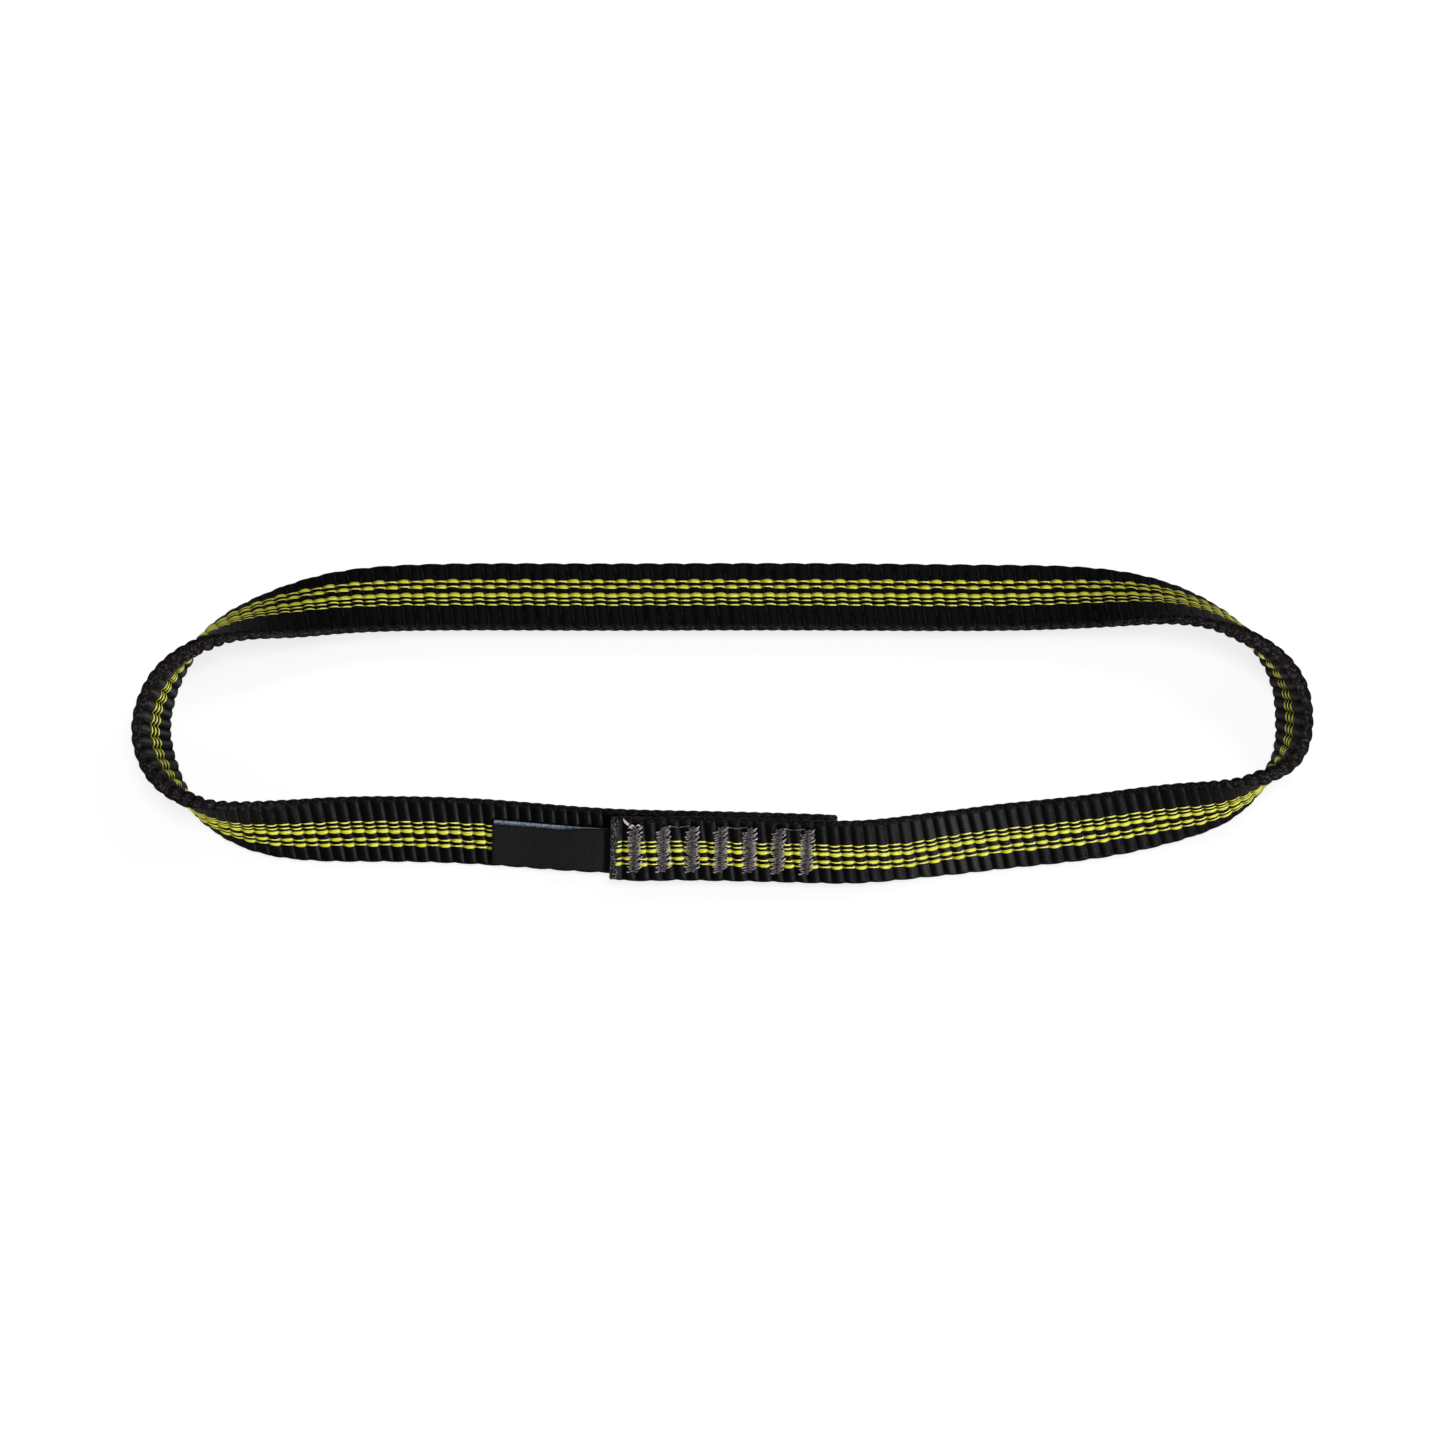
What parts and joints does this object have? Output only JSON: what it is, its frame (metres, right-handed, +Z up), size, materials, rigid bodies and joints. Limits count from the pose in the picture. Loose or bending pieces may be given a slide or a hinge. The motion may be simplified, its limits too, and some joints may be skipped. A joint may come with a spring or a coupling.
{
  "type": "climbing sling",
  "caption": "Short closed loop of thick woven webbing, lapped and sewn with bar tacks, with a folded label that lifts about its sewn root.",
  "frame": {"origin": "on the table, under the middle of the sling's box", "axes": "+X along the loop's length, towards the end that the lap's inner layer points at; +Y from the lapped run to the plain run; +Z up"},
  "size_m": [0.2674, 0.0734, 0.017],
  "materials": {
    "webbing": "ribbed black webbing with a soft sheen and woven yellow-green stripes",
    "tack_thread": "grey polyester sewing thread, satin",
    "label": "black satin-woven label, plain"
  },
  "bodies": {
    "sling": {"webbing": "webbing", "label_tab": "label", "bar_tack_1_needle_thread": "tack_thread", "bar_tack_1_bobbin_thread": "tack_thread", "bar_tack_2_needle_thread": "tack_thread", "bar_tack_2_bobbin_thread": "tack_thread", "bar_tack_3_needle_thread": "tack_thread", "bar_tack_3_bobbin_thread": "tack_thread", "bar_tack_4_needle_thread": "tack_thread", "bar_tack_4_bobbin_thread": "tack_thread", "bar_tack_5_needle_thread": "tack_thread", "bar_tack_5_bobbin_thread": "tack_thread", "bar_tack_6_needle_thread": "tack_thread", "bar_tack_6_bobbin_thread": "tack_thread", "bar_tack_7_needle_thread": "tack_thread", "bar_tack_7_bobbin_thread": "tack_thread"},
    "label": {"label_flap": "label"}
  },
  "joints": [
    {"name": "label_lift", "type": "hinge", "parent": "sling", "child": "label", "pos_m": [-0.02646, -0.02923, 0.00677], "axis": [0.0412, 0.8907, 0.4527], "range_deg": [0, 85]}
  ]
}
